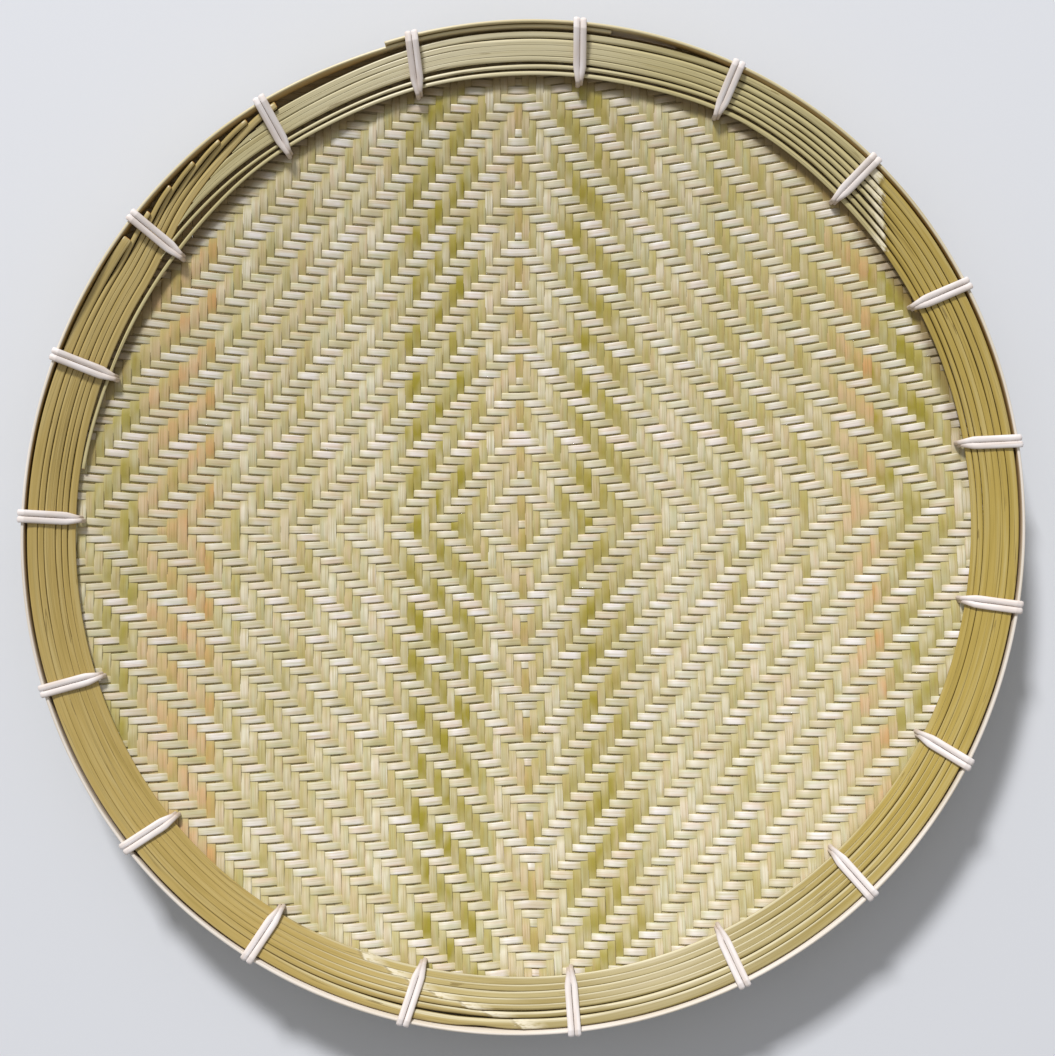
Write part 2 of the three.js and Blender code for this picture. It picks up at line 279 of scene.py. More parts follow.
# section of the lath: share of its thickness, millimetres from which edge, and how much of the
# pale sawn edge shows there at the far and at the near side; below the inner top corner that paleness is
# painted light
hoopSection = (
    (0.5, 0.0, "foot", 0, 0), (0.82, 0.1, "foot", 0, 0), (1.0, 0.4, "foot", 0, 0),
    (1.0, 5.5, "foot", 0, 0), (1.0, 10.7, "foot", 0, 0), (1.0, -0.42, "top", 0.6, 0.6),
    (0.84, -0.12, "top", 1, 1), (0.5, 0.0, "top", 1, 1), (0.16, -0.12, "top", 1, 1),
    (0.0, -0.42, "top", 0.3, 1), (0.0, -2.4, "top", 0, 0.9), (0.0, 5.5, "foot", 0, 0),
    (0.0, 0.4, "foot", 0, 0), (0.18, 0.1, "foot", 0, 0),
)
swellPoint = 10  # the point of the section that swells in
innerRun = 40  # keeps the fibres of the inner face apart from those of the skin
hoopFoot = floorUnder(0) - hoop["belowEdge"]
hoopTop = hoopFoot + hoop["width"]


def lapRoom(angle):
    place = angle % 360
    rise = smooth(place, hoop["lapStart"] - hoop["lapLead"], hoop["lapStart"])
    fall = smooth(place, hoop["lapEnd"] + hoop["lapRun"], hoop["lapEnd"])
    return (hoop["thickness"] + tray["seatGap"]) * rise * fall


def insideHoop(angle):
    return outline(angle) - hoop["thickness"] - lapRoom(angle) - tray["seatGap"]


def hoopMaterial():
    # Bamboo lath on edge: the skin outside has a low gloss, the sawn edge on top is pale and
    # fibrous, and the inner wood facing the tray is tan and dry. Fibre bundles are drawn at
    # 0.4 mm, a little coarser than real, to show.
    material, tree, shader = startMaterial("bamboo lath, split and bent")
    isSkin, sawnEdgeAndPaintedLight, isFar = readLayer(tree, "tint")
    fibres = fibreNoise(tree, 55.56, 0.3846)
    patches = fibreNoise(tree, 50, 10, detail=2.0)
    sawn = paintOver(tree, hoop["edge"], (hoop["farEdge"], isFar))
    colour = paintOver(
        tree, hoop["pith"],
        (hoop["skin"], isSkin),
        # the sawn edge's pale, which on the near side also covers the top of the inner face as painted light
        (sawn, sawnEdgeAndPaintedLight),
        (hoop["patch"], (patches, 0.45, 0.75, 0, 0.35)),
        (hoop["streak"], (fibres, 0.52, 0.75, 0, 0.5)))
    finishMaterial(tree, shader, colour, (isSkin, 0, 1, 0.62, 0.4), (fibres, 0.4, 0.1))
    bambooSheen(tree, shader, outwardFromMiddle(tree), 0.6)
    return material


def makeHoop():
    bm = bmesh.new()
    run, tint = newLayers(bm, "run", "tint")
    start, end = hoop["lapStart"], hoop["lapEnd"] + 360
    steps = round((end - start) / hoop["turnStep"])
    angles = [start, start + hoop["endEase"], end - hoop["endEase"], end]
    angles[2:2] = [start + (end - start) * step / steps for step in range(1, steps)]

    def place(vert, step, side):
        angle = angles[step]
        isInside = angle < hoop["lapEnd"] + hoop["lapRun"]
        outside = outline(angle) - (lapRoom(angle) if isInside else 0)
        low = hoop["lapStepDown"] * smooth(angle, hoop["lapEnd"] + hoop["lapRun"], hoop["lapEnd"])
        along = math.radians(angle) * tray["hoopRadius"]
        edges = {"top": hoopTop - low + waver(hoop["topWaver"], along),
                 "foot": hoopFoot + waver(hoop["footWaver"], along)}
        share, rise, edge, paleFar, paleNear = hoopSection[side]
        if side == swellPoint:
            share -= blendAlong(hoop["swell"], angle)
        if step in (0, len(angles) - 1):
            share = blendOf(share, 0.5, hoop["endThinning"])
        height = edges[edge] + rise
        isInner = share < 0.5
        thick = hoop["thickness"] * (1 + waver(hoop["thicknessWaver"], along))
        vert.co = polar(outside - hoop["thickness"] + share * thick, angle, height)
        vert[run] = (along, height + (innerRun if isInner else 0), 1)
        farness = math.sin(math.radians(angle))
        lapPale = hoop["lapPale"] * max(smooth(angle, *turns) for turns in hoop["lapPaleAngles"])
        # painted light: on the near side the top of the inner face takes the edge's pale
        pale = blendOf(paleFar, paleNear, max(smooth(farness, *hoop["nearSpan"]), lapPale))
        vert[tint] = (0.0 if isInner else 1.0, pale, smooth(farness, *hoop["farSpan"]))

    bentRod(bm, len(angles) - 1, len(hoopSection), place)
    finishPiece(bm, "lapped_hoop", hoopMaterial(), ["outer_hoop"])
    print("hoop bent and lapped")


weave = {
    "repeat": 6,  # rows and columns in one repeat of the twill
    "overs": (0, 4, 5),  # at which of them the weft lies on top
    # places of the rows and columns, one for each repeat, pulled tight in the middle
    "rowPlaces": (-204.9, -184.0, -163.3, -139.9, -119.0, -96.6, -76.5, -56.4, -37.1, -17.7,
                  1.9, 22.4, 42.2, 61.1, 80.5, 100.4, 120.9, 142.0, 163.7, 185.3, 206.5),
    "columnPlaces": (-204.9, -183.2, -161.7, -137.2, -115.7, -95.5, -76.0, -56.5, -37.6, -19.5,
                     -0.9, 17.4, 36.3, 55.6, 74.4, 93.0, 112.5, 133.9, 155.8, 177.1, 198.5),
    "drawIn": 0.0014,  # how much closer they lie for each millimetre that the floor rises
    "rowBarrel": 0.02,  # far rows curve up at their ends, per 100 mm
    "columnFan": 0.018,  # columns spread towards the near side, per 100 mm
    # width, of the pitch; slope and bend of the run; how far floats are pulled askew by the step of
    # the twill; waver; the edge's drop; height where pressed; first lane; how much paler at the
    # lower right; how strong the dark fibres are; palest and yellowest colour
    "weft": {
        "width": 0.88, "run": (0.034, 0.0001), "turn": 0.07, "waver": (0.10, 0, 23), "edgeDrop": 0.08,
        "pressed": 0.1, "lane": 0, "palerLowRight": 0, "streak": 0.38, "tones": ("#F1EAE6", "#DED5BA"),
    },
    "warp": {
        "width": 1.05, "run": (-0.0195, 0.000065), "turn": 0, "waver": (0.08, 0, 23), "edgeDrop": 0.035,
        "pressed": -0.1, "lane": 300, "palerLowRight": 0.36, "streak": 0.50, "tones": ("#ECE3CB", "#C4B678"),
    },
    "thickness": 0.56,
    "lift": 0.46,  # how far a splint rises and dips
    "turnArea": 900,  # mm2, how soon floats are askew, going out from the middle lines
    "sampleShare": 0.29,  # where the two points of a crossing lie, of the pitch
    "edgeShare": 0.13,  # how wide the eased edge of a splint is, of its width
    "rollWaver": (0.035, 90, 9),
    "widthWaver": (0.12, 50, 31),
    "placeJitter": 0.08,  # mm, as the next
    "heightJitter": 0.05,
    "widthJitter": (0.97, 1.01),
    "grainJitter": 900,  # mm, where in the grain a splint starts
    "oliveJitter": (0.55, 1.1),
    "peachJitter": (0.45, 1.1),
    "weftOlives": (0.0, 0.05, 0.1, 0.15, 0.45),
    "weftPeaches": (0.0, 0.0, 0.05, 0.12),
    "warpOlives": (0.0, 0.0, 0.1, 0.2),
    "reach": 63,  # rows and columns to each side of the middle ones
    "rimClearance": -1.2,  # the ends pass into the hoop's foot, to no more than the depth below
    "rimDepth": 0.7,
    "openFloor": 190,  # radius within which nothing comes near the hoop
    "pieceBands": ((-63, -19), (-18, 18), (19, 63)),  # rows or columns in each piece
    "seed": 11,
    "palerSpan": ((10, 130), (-70, 50)),  # from where to where in x and -y
    "palerOlive": 0.5,  # how much of the olive goes with it
    "yellowerUpRight": 0.35,  # how much yellower the upper right is
    "yellowerSpan": ((10, 130), (20, 120)),  # from where to where in x and y
    "bandEase": (0.7, 1.35),  # where a band of colour starts and ends to fade, of its half width
    "hoopSide": (2.9, 6.4),  # mm from the hoop within which the floor is pressed flat and painted brown as shade
    "farSide": (1.3, 5.2),  # mm inside the far part of the rim within which the floor is painted brown, a painted shadow of the strips
    "farSpan": (-0.05, 0.5),  # where that comes in, 1 far to -1 near
    "farDark": 0.88,
    "olive": "#A09332",
    "peach": "#D3A063",
    "rosy": "#DCC0A0",
    "greyish": "#C3C5A0",
    "dipTone": "#C6BA78",
    "shade": "#A48E4E",
    "paintedShadeBrown": "#7D6536",
}
# warps were laid in from bundles of different colour: middle, half width, olive, peach
warpBands = (
    (-168, 9, 0.7, 0.0), (-142, 15, 0.1, 0.8), (-96, 12, 0.25, 0.1), (-35, 15, 0.9, 0.0),
    (-4, 6, 0.3, 0.35), (30, 17, 0.85, 0.05), (78, 14, 0.3, 0.0), (112, 12, 0.25, 0.15),
    (140, 9, 0.1, 0.8), (162, 15, 0.85, 0.0),
)


def weftOver(column, row):
    return (abs(column) + abs(row)) % weave["repeat"] in weave["overs"]


def placeOf(places, number):
    # place of a row or column and its local pitch
    at = number / weave["repeat"] + (len(places) - 1) / 2
    low = min(max(math.floor(at), 0), len(places) - 2)
    gap = places[low + 1] - places[low]
    return places[low] + gap * (at - low), gap / weave["repeat"]


def rowAt(row, x):
    place = placeOf(weave["rowPlaces"], row)[0]
    drift, bend = weave["weft"]["run"]
    return place + drift * x + bend * x * x + weave["rowBarrel"] * max(place, 0) * (x / 100) ** 2


def columnAt(column, y):
    place = placeOf(weave["columnPlaces"], column)[0]
    drift, bend = weave["warp"]["run"]
    return place * (1 - weave["columnFan"] * y / 100) + drift * y + bend * y * y


def angleOf(x, y):
    return math.degrees(math.atan2(y, x))


def insetOf(x, y):
    return outline(angleOf(x, y)) - math.hypot(x, y)


def drawnIn(x, y):
    share = 1 - weave["drawIn"] * floorUnder(insetOf(x, y))
    return x * share, y * share


def clearOfHoop(x, y):
    radius = math.hypot(x, y)
    if radius < weave["openFloor"]:
        return tray["hoopRadius"] - radius
    return insideHoop(angleOf(x, y)) - weave["rimClearance"] - radius


def onFloor(along, aside, isWeft):
    return drawnIn(*((along, aside) if isWeft else (aside, along)))


def splintPath(number, isWeft, rng):
    # points along one splint, from side to side of the tray: how far along and aside, height
    # over the floor's middle, and how far it has dipped towards what it passes under
    def isOver(cross):
        return weftOver(cross, number) if isWeft else not weftOver(number, cross)

    splint = weave["weft" if isWeft else "warp"]
    crossPlaces = weave["columnPlaces" if isWeft else "rowPlaces"]
    ownAt, crossAt = (rowAt, columnAt) if isWeft else (columnAt, rowAt)
    nudge = rng.uniform(-weave["placeJitter"], weave["placeJitter"])
    path = []
    for cross in range(-weave["reach"], weave["reach"] + 1):
        here = isOver(cross)
        up = 1 if here else -1
        back, ahead = [
            next(gap for gap in range(1, weave["repeat"]) if isOver(cross + way * gap) != here) - 1
            for way in (-1, 1)]
        bump = rng.uniform(-weave["heightJitter"], weave["heightJitter"])
        for side in (-1, 1):
            share = side * weave["sampleShare"]
            middle, pitch = placeOf(crossPlaces, cross)
            along = crossAt(cross, ownAt(number, middle)) + share * pitch
            aside = ownAt(number, along) + nudge + waver(splint["waver"], along, number + splint["lane"])
            askew = splint["turn"] * min(max(along * ownAt(number, 0) / weave["turnArea"], -1), 1) * up
            aside += askew * pitch * ((back - ahead) / 2 + share)
            arch = math.sin(math.pi * (2 * back + 1 + side / 2) / (2 * (back + ahead + 1)))
            height = weave["lift"] * arch * up + (bump if here else -abs(bump))
            path.append((along, aside, height, 1 - arch if here else 1.0))
    clear = [clearOfHoop(*onFloor(along, aside, isWeft)) for along, aside, height, dip in path]
    inside = [place for place, room in enumerate(clear) if room > 0]
    if len(inside) < 2:
        return []
    # the ends are cut where they meet the hoop
    kept = path[inside[0]:inside[-1] + 1]
    for end, out in ((inside[0], inside[0] - 1), (inside[-1], inside[-1] + 1)):
        if 0 <= out < len(path):
            share = clear[end] / (clear[end] - clear[out])
            tip = tuple(blendOf(last, beyond, share) for last, beyond in zip(path[end], path[out]))
            kept.insert(0 if out < end else len(kept), tip)
    return kept


def addSplint(bm, layers, number, isWeft, rng, rimInside):
    path = splintPath(number, isWeft, rng)
    if not path:
        return
    run, tint, paintedLight = layers
    splint = weave["weft" if isWeft else "warp"]
    places = weave["rowPlaces" if isWeft else "columnPlaces"]
    width = placeOf(places, number)[1] * splint["width"] * rng.uniform(*weave["widthJitter"])
    offset = rng.uniform(0, weave["grainJitter"])
    lane = number + splint["lane"]
    tone = rng.random()
    if isWeft:
        olive = rng.choice(weave["weftOlives"])
        peach = rng.choice(weave["weftPeaches"])
    else:
        olive = peach = 0.0
        for middle, half, olivePart, peachPart in warpBands:
            fades, gone = [half * ease for ease in weave["bandEase"]]
            share = smooth(abs(columnAt(number, 0) - middle), gone, fades)
            olive += share * olivePart * rng.uniform(*weave["oliveJitter"])
            peach += share * peachPart * rng.uniform(*weave["peachJitter"])
        olive += rng.choice(weave["warpOlives"])
    acrossShares = (-0.5, -0.5 + weave["edgeShare"], 0.5 - weave["edgeShare"], 0.5)
    drift, bend = splint["run"]

    def place(vert, step, side):
        along, aside, height, dip = path[step]
        lean = drift + 2 * bend * along
        across = acrossShares[side] * (width + waver(weave["widthWaver"], along, lane))
        out = across if isWeft else -across  # so that both lie with the same side up
        x, y = onFloor(along - out * lean, aside + out, isWeft)
        # nothing comes out through the hoop
        held = min(1, (insideHoop(angleOf(x, y)) + weave["rimDepth"]) / max(math.hypot(x, y), 1))
        x, y = x * held, y * held
        angle, inset = angleOf(x, y), insetOf(x, y)
        stretch = bendStretch(inset)
        pressed = 1 - smooth(clearOfHoop(x, y), *weave["hoopSide"])
        top = blendOf(height, splint["pressed"], pressed) + weave["thickness"] / 2
        if side in (0, 3):
            top -= splint["edgeDrop"]
        top += waver(weave["rollWaver"], along, lane) * across
        middle = floorUnder(inset) + tray["floorThickness"] / 2 * stretch
        vert.co = Vector((x, y, middle + top * stretch)) * metresPerMm
        vert[run] = (along + offset, across, lane)
        paling, yellowShift = [
            most * smooth(x, *spanX) * smooth(acrossY, *spanY) for most, (spanX, spanY), acrossY in (
                (splint["palerLowRight"], weave["palerSpan"], -y), (weave["yellowerUpRight"], weave["yellowerSpan"], y))]
        vert[tint] = (tone - paling + yellowShift, olive * (1 - weave["palerOlive"] * paling), peach)
        # painted shadow: the floor inside the far part of the rim, where the strips cast shade
        shaded = smooth(rimInside[round(angle) % 360] - math.hypot(x, y), *reversed(weave["farSide"]))
        vert[paintedLight] = (dip, pressed, shaded * smooth(math.sin(math.radians(angle)), *weave["farSpan"]))

    bentSheet(bm, len(path) - 1, len(acrossShares) - 1, place)


def weaveMaterial(name, isWeft):
    # Split bamboo, inner wood up, shaved and left bare: pale straw with fine straight fibres
    # and a soft satin light across each float. Fibre bundles are drawn at about 0.5 mm, coarser
    # than real, to show.
    material, tree, shader = startMaterial(name)
    splint = weave["weft" if isWeft else "warp"]
    yellowed, isOlive, isPeach = readLayer(tree, "tint")
    dip, pressed, shaded = readLayer(tree, "paintedLight")
    fibres = fibreNoise(tree, 25, 0.5263)
    patches = fibreNoise(tree, 22.22, 8.333, detail=2.0)
    stains = fibreNoise(tree, 35.71, 3.226, detail=2.0)
    pale, straw = splint["tones"]
    patchy = addNode(tree, "ShaderNodeMapRange", {0: patches, 1: 0.3, 2: 0.7, 3: -0.45, 4: 0.45}).outputs[0]
    strawShare = addNode(tree, "ShaderNodeMath", {0: yellowed, 1: patchy}, operation="ADD").outputs[0]
    colour = paintOver(
        tree, pale,
        (straw, strawShare),
        (weave["rosy"], (stains, 0.50, 0.68, 0, 0.55)),
        (weave["greyish"], (stains, 0.48, 0.32, 0, 0.55)),
        (weave["olive"], isOlive, (patches, 0.35, 0.65, 0.45, 1.1)),
        (weave["peach"], isPeach, (patches, 0.65, 0.35, 0.25, 1.1)),
        (weave["shade"], (fibres, 0.48, 0.66, 0, splint["streak"])),
        # painted sheen and shade: each float is palest on its crown, yellower and darker where it dips under
        (weave["dipTone"], (dip, 0.25, 0.8, 0, 0.45)),
        (weave["shade"], (dip, 0.4, 1, 0, 0.14)),
        # painted shadow inside the far rim, and painted shade by the hoop
        (weave["paintedShadeBrown"], (shaded, 0, 1, 0, weave["farDark"])),
        (weave["paintedShadeBrown"], (pressed, 0, 0.8, 0, 0.95)))
    finishMaterial(tree, shader, colour, (fibres, 0.3, 0.7, 0.40, 0.52), (fibres, 0.35, 0.08))
    bambooSheen(tree, shader, (0, 1, 0) if isWeft else (1, 0, 0))
    return material


def makeWeave():
    rng = random.Random(weave["seed"])
    rimInside = [innermostCorner(angle)[0] for angle in range(360)]
    for isWeft, word in ((True, "weft"), (False, "warp")):
        material = weaveMaterial("shaved bamboo " + word, isWeft)
        for number, (low, high) in enumerate(weave["pieceBands"], 1):
            bm = bmesh.new()
            layers = newLayers(bm, "run", "tint", "paintedLight")
            for splint in range(low, high + 1):
                addSplint(bm, layers, splint, isWeft, rng, rimInside)
            piece = finishPiece(
                bm, f"{word}_splints_{number}", material, ["woven_panel"], closed=False)
            wall = piece.modifiers.new("thickness", "SOLIDIFY")
            wall.thickness = weave["thickness"] * metresPerMm
            wall.offset = -1
            wall.use_rim = True
    print("woven floor laid")


strips = {
    "count": 7,
    "width": 18,  # of the whole lath, times the share for the angle
    "thickness": 2.0,
    "firstStart": 120.3,
    "startStep": 3.9,
    "startLift": 2.0,  # how far a start stands off the floor
    "startLiftRun": 9,
    "firstTailRun": 52,  # how far the innermost strip runs on past its own start
    "tailEndGap": 0.7,
    "tailOpenings": (0.5, 1.1),  # how far the first two far ends stand open from the next
    "tailOpeningAngles": ((38, 58), (60, 105)),
    "tailClosingRun": 14,
    "roomFrom": 96,  # where the innermost strip starts to make room for the starts
    "farRoom": 0.6,
    "farRoomAngles": (52, 80),
    "tailRise": 0.8,  # how high the far ends stand off the floor
    "tailTip": 3.2,  # degrees over which a far end is cut aslant
    "tipWidth": 0.3,  # left at its very tip
    "searchStep": 0.05,
    "easeTurns": (-3.6, -1.8, 0.0, 1.8, 3.6),  # a place is the mean of these, to bend evenly
    "crown": 2.3,  # how much thicker the outermost strip is
    "turnStep": 1.0,
    "endEase": 0.1,  # degrees of the eased corner at each cut end
    "endShares": (0.3, 0.16),  # how far the end is drawn in sideways and upright
    "waver": (0.12, 20, 34),  # of the split sideways
    "topWaver": (0.10, 40, 40),  # of all tops alike
    "ownTopWaver": (0.15, 41, 36),  # of each strip alone, where it is split off
    "nodes": ((271.0, 248.0), (405.1, 397.4)),  # angles on the outermost and innermost strip
    "nodeSlant": 0.35,  # of the way that the node crosses the whole lath
    "nodeJitter": (0.9, 95, 9),  # degrees, how far the mark on a strip lies from its place
    "nodeReach": (1, 1.5),  # degrees before and past a node that have finer steps
    "nodeSteps": 14,
    "nodeRise": 0.34,
    "nodeRiseSpan": (-1.2, 0.2),
    "nodeFade": 3,  # mm over which it sinks again
    "nodeKick": (0.75, 71, 1),  # of the split, where it passes a node
    "nodeKickLength": 4.5,
    "kickSeed": (17.3, 4.7, 3),  # from node to node through the noise, start, from line to line
    "jitterSeed": (41, 17),  # from strip to strip, from node to node
    "hoopKick": 0.8,  # how far the outermost strip stands off the hoop at its first node
    "hoopKickAngles": (265.0, 2.4),
    "gap": 0.34,  # between two strips that stand well apart
    "roundings": (0.04, 0.80),  # of the top corners where joined and where split
    "flats": (0.1, 0.45),  # from the rounding to where the top starts to rise, the same
    "edgeHighlightFlat": 0.5,  # how much further that is where the inner edge is painted cream as a highlight
    "mostOfHalf": 0.8,  # of half a strip, for either
    "roundCorner": 0.29,  # how far a rounding's middle lies inside the corner, of its radius
    "sideFoot": 0.3,  # height from which the sides are flat
    "footEase": (0.08, 0.03),  # of the corners below, inwards and upwards
    "splitWaver": (0.4, 130, 22),  # of the width of a split, as a share of it
    "sectionPoints": 14,
    "runRadius": 180,  # radius at which lengths along the rim are measured
    "sideRun": 0.8,  # how much of the painted under-shade shows high on the sides
    "sideUnderShade": 0.35,  # how much of the underside's colour shows high on the sides
    "firstStem": "#B69B50",
    "secondStem": "#B8A053",
    "thirdStem": "#C6BA8A",
    "paintedNodeGlint": "#F1E7CE",
    "seam": "#7A6534",
    "cutEnd": "#B87B38",
    "bloom": "#CFC08C",
    "paleBloomAndHighlight": "#DCD2B0",
    "shade": "#96803A",
    "paintedDullShade": "#A09264",
    "fibre": "#84702F",
    "underside": "#8A7038",
}
# width of the lath by angle, widest at its nodes, and each strip's share of it, innermost first
widthShares = (
    (121, 0.94), (190, 1.0), (230, 0.99), (262, 1.07), (290, 1.06), (340, 0.98), (400, 0.99),
    (425, 0.88), (450, 0.84), (475, 0.71))
startShares = (0.185, 0.13, 0.12, 0.11, 0.115, 0.125, 0.215)
endShares = (0.12, 0.12, 0.15, 0.14, 0.14, 0.16, 0.17)
# how far the lath is split between each two neighbours, from the innermost pair out, by angle:
# 0 where they still hold together, 1 where they stand well apart
splitShares = (
    (121, (1, 1, 1, 1, 1, 1)),
    (147, (0.7, 0.1, 0.5, 0.15, 0.6, 0.7)),
    (170, (0.7, 0.5, 0.6, 0.05, 0.6, 0.6)),
    (187, (0.4, 0.4, 0.4, 0.05, 0.5, 0.4)),
    (200, (0.1, 0.15, 0.15, 0, 0.1, 0.15)),
    (228, (0.1, 0.15, 0.05, 0.2, 0.1, 0.3)),
    (247, (0.1, 0.15, 0.1, 0.1, 0.5, 0.7)),
    (257, (0.1, 0.2, 0.2, 0.3, 0.6, 1.4)),
    (262, (0.1, 0.3, 0.3, 0.3, 0.7, 2.8)),
    (267, (0.1, 0.4, 0.15, 0.1, 1.2, 1.2)),
    (286, (0.05, 0.15, 0.05, 0, 0.7, 0.5)),
    (305, (0.05, 0.5, 0, 0.1, 0.7, 0.3)),
    (322, (0.1, 0.8, 0.3, 0.1, 0.7, 0.5)),
    (341, (0.05, 0.4, 0.2, 0.05, 0.3, 0.1)),
    (360, (0.3, 0.5, 0.1, 0, 0.1, 0.4)),
    (380, (0.9, 0.8, 0.5, 0.3, 0.8, 0.7)),
    (392, (0.7, 0.6, 0.45, 0.4, 0.55, 0.55)),
    (397, (0.9, 0.6, 0.45, 0.4, 0.5, 0.5)),
    (401, (1.9, 2.1, 1.4, 0.7, 0.5, 0.5)),
    (404, (1.6, 2.1, 2.3, 2.2, 1.5, 0.8)),
    (408, (1.2, 1.5, 1.6, 1.6, 1.5, 1.4)),
    (417, (1.4, 1.2, 1.1, 1, 1.1, 1)),
    (432, (1.3, 0.9, 0.5, 0.15, 0.2, 1.1)),
    (453, (1, 0.9, 0.2, 0.1, 0.1, 0.9)),
    (473, (1, 1, 0.05, 0.1, 0.5, 0.1)),
    (500, (1, 1, 0.1, 0.1, 0.3, 0.1)),
)
pairSplits = [
    [(angle, shares[pair]) for angle, shares in splitShares] for pair in range(strips["count"] - 1)]
# all by angle: pale bloom left on the skin, how far the thicker outer side has come up, how far
# the inner edge of each strip is painted cream as a highlight, how far the skin is dulled in gloss and
# painted darker as shade, how far the far ends have risen, and how far the outermost strip is
# pressed on the hoop, in mm
bloomShares = (
    (120, 0.22), (150, 0.18), (175, 0.10), (240, 0.10), (262, 0.14), (280, 0), (310, 0),
    (430, 0), (446, 0.75), (458, 0.9), (474, 0.5), (484, 0.08), (500, 0.08))
crownShares = ((147, 0), (172, 1), (400, 1), (436, 0))
edgeHighlightShares = ((232, 0), (255, 1), (300, 1), (322, 0.4), (345, 0))
dullAndShadeShares = ((246, 0), (278, 1), (298, 1), (325, 0))
tailRiseShares = ((400, 0), (425, 1), (512, 1), (532, 0))
hoopPress = ((150, 0), (170, 0.22), (400, 0.22), (420, 0))
stripStarts = [strips["firstStart"] + strip * strips["startStep"] for strip in range(strips["count"])]
lastStart = stripStarts[-1]


def alongRim(angle):
    return math.radians(angle) * strips["runRadius"]


def pitchAt(strip, angle):
    travelled = evenly(angle, strips["firstStart"], strips["firstStart"] + 360)
    share = blendOf(startShares[strip], endShares[strip], travelled)
    return strips["width"] * blendAlong(widthShares, angle) * share


def stripInset(strip, angle):
    # how far a strip's outer side lies in from the hoop
    back = angle - 360
    inset = pitchAt(0, strips["firstStart"]) * smooth(back, strips["roomFrom"], strips["firstStart"])
    for outer in range(strip + 1, strips["count"]):
        start = stripStarts[outer]
        inset += pitchAt(outer, angle) * evenly(angle, start - strips["startStep"], start)
    for pair, (opens, opened) in enumerate(strips["tailOpeningAngles"]):
        if strip <= pair:
            inset += strips["tailOpenings"][pair] * smooth(back, opens, opened)
    inset += strips["farRoom"] * smooth(back, *strips["farRoomAngles"])
    if strip > 0 or back < strips["firstStart"]:
        return inset
    return blendOf(inset, besideFirst(max(back, lastStart)), smooth(back, strips["firstStart"], lastStart))


def besideFirst(angle):
    # the innermost strip's far end comes to lie along its own start and closes up to it
    tailEnd = strips["firstStart"] + strips["firstTailRun"]
    isOpen = smooth(angle, tailEnd, tailEnd - strips["tailClosingRun"])
    return stripInset(0, angle) + pitchAt(0, angle) + strips["tailOpenings"][1] * isOpen


def findStripEnd(strip):
    # a far end stops where the innermost strip, moving in from its start, comes to cross it
    if strip == 0:
        return strips["firstStart"] + 360 + strips["firstTailRun"]
    gap = strips["tailEndGap"]
    angle = strips["firstStart"] - gap
    while stripInset(0, angle + gap) + pitchAt(0, angle + gap) < stripInset(strip, angle + 360):
        angle += strips["searchStep"]
    return angle + 360


stripEnds = [findStripEnd(strip) for strip in range(strips["count"])]


def stripWidth(strip, angle):
    return pitchAt(strip, angle) / slopeCos - tray["seatGap"]


def stripSpot(strip, angle, across, up):
    # radius and height of a point of a strip's section
    start, turns = stripStarts[strip], strips["easeTurns"]
    outerFoot = insideHoop(angle) - sum(stripInset(strip, angle + turn) for turn in turns) / len(turns)
    lift = strips["startLift"] * smooth(angle, start + strips["startLiftRun"], start)
    lift += strips["tailRise"] * blendAlong(tailRiseShares, angle)
    foot = floorOver(outline(angle) - outerFoot) + tray["seatGap"] + lift
    return outerFoot - across * slopeCos - up * slopeSin, foot - across * slopeSin + up * slopeCos


def innermostCorner(angle):
    found = []
    for strip in range(strips["count"]):
        for turn in (angle % 360, angle % 360 + 360):
            if stripStarts[strip] <= turn <= stripEnds[strip]:
                found.append(stripSpot(strip, turn, stripWidth(strip, turn), strips["thickness"]))
    return min(found)


def splitAt(pair, angle):
    if not 0 <= pair < len(pairSplits):
        return 0.5  # the lath's own sides are rounded a little
    found = blendAlong(pairSplits[pair], angle, evenly)
    return found * (1 + waver(strips["splitWaver"], alongRim(angle), pair))


def knotAngles(edge):
    # where the nodes of the lath cross the line between two neighbours
    share = 1 - edge / strips["count"]
    return [blendOf(outermost, innermost, share) for outermost, innermost in strips["nodes"]]


def edgeShift(edge, angle):
    # sideways wander of the split between two neighbours, kicked aside where it passes a node
    if edge == strips["count"]:
        middle, half = strips["hoopKickAngles"]
        return -strips["hoopKick"] * math.exp(-((angle - middle) / half) ** 2)
    shift = waver(strips["waver"], alongRim(angle), edge)
    numberStep, numberStart, edgeStep = strips["kickSeed"]
    for number, knot in enumerate(knotAngles(edge)):
        kick = waver(strips["nodeKick"], numberStep * number + numberStart, edge * edgeStep)
        shift += kick * math.exp(-(alongRim(angle - knot) / strips["nodeKickLength"]) ** 2)
    return shift


